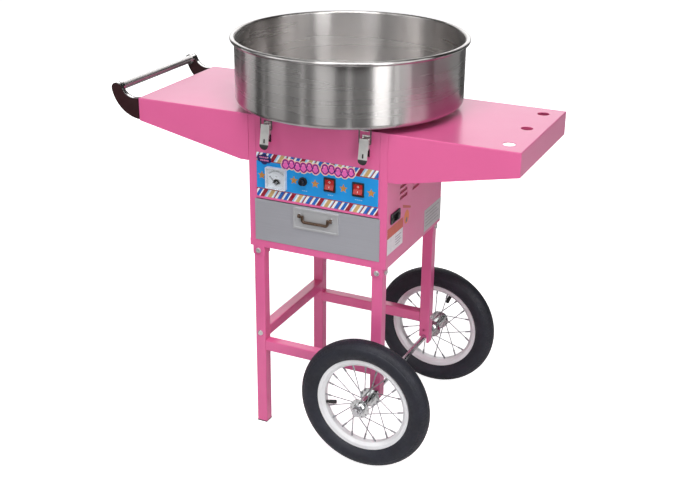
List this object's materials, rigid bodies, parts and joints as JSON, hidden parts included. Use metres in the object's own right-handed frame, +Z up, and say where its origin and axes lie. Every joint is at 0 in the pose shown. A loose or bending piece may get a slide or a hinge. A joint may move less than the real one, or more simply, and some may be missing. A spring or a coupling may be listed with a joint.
{
  "type": "cotton candy cart",
  "caption": "Cotton candy machine on a wheeled cart: square cabinet with a spinning head in a wide steel bowl, side shelves, drawer, push handle and spoked wheels.",
  "frame": {"origin": "on the floor, straight below the middle of the square cabinet and of the spinning head's axis", "axes": "+X along the cart's front to the right, from the push handle to the shelf with the cone holes; +Y to the back, along the axle; +Z up"},
  "size_m": [0.9587, 0.536, 0.9115],
  "materials": {
    "pink_enamel": "glossy powder coat",
    "stainless": "brushed",
    "spun_stainless": "spun, circular grain",
    "chrome": "polished",
    "zinc": "zinc plated",
    "dark_wire": "dark",
    "bracket_brown": "glossy",
    "rim_enamel": "satin",
    "tyre": "matt",
    "tube_rubber": "matt",
    "foot_rubber": "matt",
    "bumper_rubber": "matt",
    "overlay_print": "printed film",
    "case_black": "satin",
    "meter_case": "white dial in a pale case",
    "clear": "clear",
    "needle_black": "matt",
    "rocker_red": "glossy",
    "board": "matt",
    "motor_paint": "satin",
    "motor_steel": "turned",
    "brass": "turned",
    "insulator": "matt",
    "head_aluminium": "turned",
    "ribbon": "heat tinted"
  },
  "bodies": {
    "cart": {"left_legs": "pink_enamel", "right_legs": "pink_enamel", "foot_caps": "foot_rubber", "cross_rails": "pink_enamel", "left_rail": "pink_enamel", "frame_bolts_and_plugs": "zinc", "axle": "zinc", "axle_fittings": "zinc", "cabinet_shell": "pink_enamel", "base_pan": "pink_enamel", "front_panel": "pink_enamel", "control_overlay": "overlay_print", "top_plate": "pink_enamel", "handle_brackets": "chrome", "handle_bracket_covers": "bracket_brown", "handle_tube": "stainless", "left_shelf": "pink_enamel", "right_shelf": "pink_enamel", "shelf_bolts": "zinc", "voltmeter_case": "meter_case", "voltmeter_lens": "clear", "fuse_holder": "case_black", "switch_housings": "case_black", "power_inlet": "case_black", "control_board": "board", "drawer_runners": "zinc", "latch_bases": "chrome", "bowl": "spun_stainless", "bowl_hooks": "chrome", "bowl_bumpers": "bumper_rubber", "motor_housing": "motor_paint", "motor_mounts": "bumper_rubber", "brush_holder": "insulator"},
    "front_wheel": {"front_wheel_tyre": "tyre", "front_wheel_inner_tube": "tube_rubber", "front_wheel_rim": "rim_enamel", "front_wheel_hub": "zinc", "front_wheel_spokes": "zinc"},
    "rear_wheel": {"rear_wheel_tyre": "tyre", "rear_wheel_inner_tube": "tube_rubber", "rear_wheel_rim": "rim_enamel", "rear_wheel_hub": "zinc", "rear_wheel_spokes": "zinc"},
    "spinner": {"motor_armature": "motor_steel", "slip_rings": "brass", "head_base": "head_aluminium", "heating_ribbon": "ribbon", "head_lid": "head_aluminium"},
    "drawer": {"drawer_tray": "stainless", "drawer_front": "stainless", "drawer_pull_plate": "stainless"},
    "drawer_pull": {"drawer_bail": "dark_wire"},
    "left_lever": {"left_latch_lever": "chrome"},
    "left_bail": {"left_latch_bail": "dark_wire"},
    "right_lever": {"right_latch_lever": "chrome"},
    "right_bail": {"right_latch_bail": "dark_wire"},
    "fuse_knob": {"fuse_cap": "case_black"},
    "heat_switch": {"heat_rocker": "rocker_red"},
    "power_switch": {"power_rocker": "rocker_red"},
    "needle": {"voltmeter_needle": "needle_black"}
  },
  "joints": [
    {"name": "front_wheel_spin", "type": "hinge", "parent": "cart", "child": "front_wheel", "pos_m": [0.145, -0.217, 0.152], "axis": [0, 1, 0], "continuous": true},
    {"name": "rear_wheel_spin", "type": "hinge", "parent": "cart", "child": "rear_wheel", "pos_m": [0.145, 0.217, 0.152], "axis": [0, 1, 0], "continuous": true},
    {"name": "head_spin", "type": "hinge", "parent": "cart", "child": "spinner", "pos_m": [0, 0, 0.8], "axis": [0, 0, 1], "continuous": true},
    {"name": "drawer_slide", "type": "slide", "parent": "cart", "child": "drawer", "axis": [0, -1, 0], "range_m": [0, 0.22]},
    {"name": "drawer_bail_swing", "type": "hinge", "parent": "drawer", "child": "drawer_pull", "pos_m": [0, -0.1712, 0.544], "axis": [-1, 0, 0], "range_deg": [0, 90]},
    {"name": "left_latch_lever_swing", "type": "hinge", "parent": "cart", "child": "left_lever", "pos_m": [-0.115, -0.1715, 0.735], "axis": [-1, 0, 0], "range_deg": [0, 80]},
    {"name": "left_latch_bail_swing", "type": "hinge", "parent": "left_lever", "child": "left_bail", "pos_m": [-0.115, -0.1715, 0.729], "axis": [1, 0, 0], "range_deg": [0, 100]},
    {"name": "right_latch_lever_swing", "type": "hinge", "parent": "cart", "child": "right_lever", "pos_m": [0.115, -0.1715, 0.735], "axis": [-1, 0, 0], "range_deg": [0, 80]},
    {"name": "right_latch_bail_swing", "type": "hinge", "parent": "right_lever", "child": "right_bail", "pos_m": [0.115, -0.1715, 0.729], "axis": [1, 0, 0], "range_deg": [0, 100]},
    {"name": "fuse_cap_turn", "type": "hinge", "parent": "cart", "child": "fuse_knob", "pos_m": [-0.031, -0.17, 0.622], "axis": [0, -1, 0], "range_deg": [0, 90]},
    {"name": "heat_rocker_tilt", "type": "hinge", "parent": "cart", "child": "heat_switch", "pos_m": [0.0323, -0.163, 0.6243], "axis": [1, 0, 0], "range_deg": [0, 24]},
    {"name": "power_rocker_tilt", "type": "hinge", "parent": "cart", "child": "power_switch", "pos_m": [0.0986, -0.163, 0.6243], "axis": [1, 0, 0], "range_deg": [0, 24]},
    {"name": "voltmeter_needle_swing", "type": "hinge", "parent": "cart", "child": "needle", "pos_m": [-0.0943, -0.17, 0.608], "axis": [0, 1, 0], "range_deg": [0, 90]}
  ],
  "couplings": [
    {"joint": "left_latch_bail_swing", "follows": "left_latch_lever_swing", "ratio": 1.25},
    {"joint": "right_latch_bail_swing", "follows": "right_latch_lever_swing", "ratio": 1.25}
  ]
}
